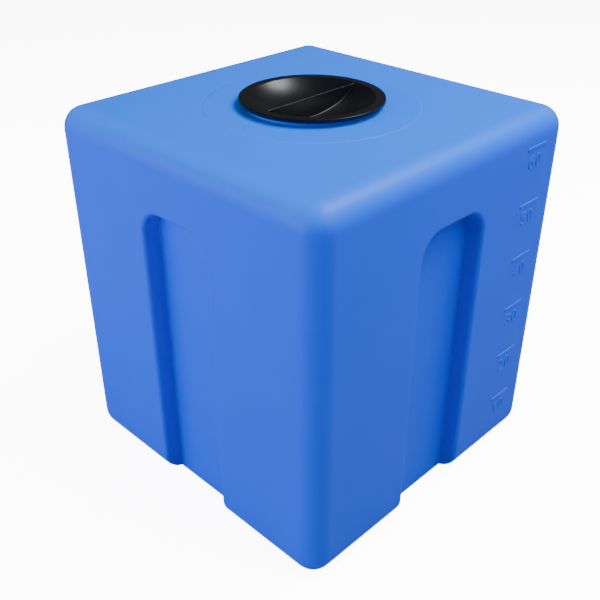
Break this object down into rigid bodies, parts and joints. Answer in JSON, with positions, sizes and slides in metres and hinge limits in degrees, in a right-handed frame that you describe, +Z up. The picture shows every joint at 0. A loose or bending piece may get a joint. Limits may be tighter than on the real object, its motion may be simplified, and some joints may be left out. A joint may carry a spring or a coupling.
{
  "type": "water tank",
  "caption": "Closed cube-like plastic water tank with grooved sides, a raised litre scale and a recessed screw lid.",
  "frame": {"origin": "middle of the base, on the surface the tank stands on", "axes": "+Z up along the tank's and the lid's axis; -Y is the side with the litre scale"},
  "size_m": [0.4, 0.401, 0.448],
  "materials": {
    "tank_plastic": "semi-matt moulded polyethylene",
    "seal_rubber": "matt black rubber",
    "lid_plastic": "satin moulded plastic"
  },
  "bodies": {
    "tank": {"tank_shell": "tank_plastic"},
    "seal": {"lid_seal": "seal_rubber"},
    "screw_lid": {"lid": "lid_plastic"}
  },
  "joints": [
    {"name": "lid_rise", "type": "slide", "parent": "tank", "child": "seal", "axis": [0, 0, 1], "range_m": [0, 0.05]},
    {"name": "lid_turn", "type": "hinge", "parent": "seal", "child": "screw_lid", "pos_m": [0, 0, 0.44], "axis": [0, 0, 1], "range_deg": [0, 1800]}
  ],
  "couplings": [
    {"joint": "lid_rise", "follows": "lid_turn", "m_per_rad": 0.0015915}
  ]
}
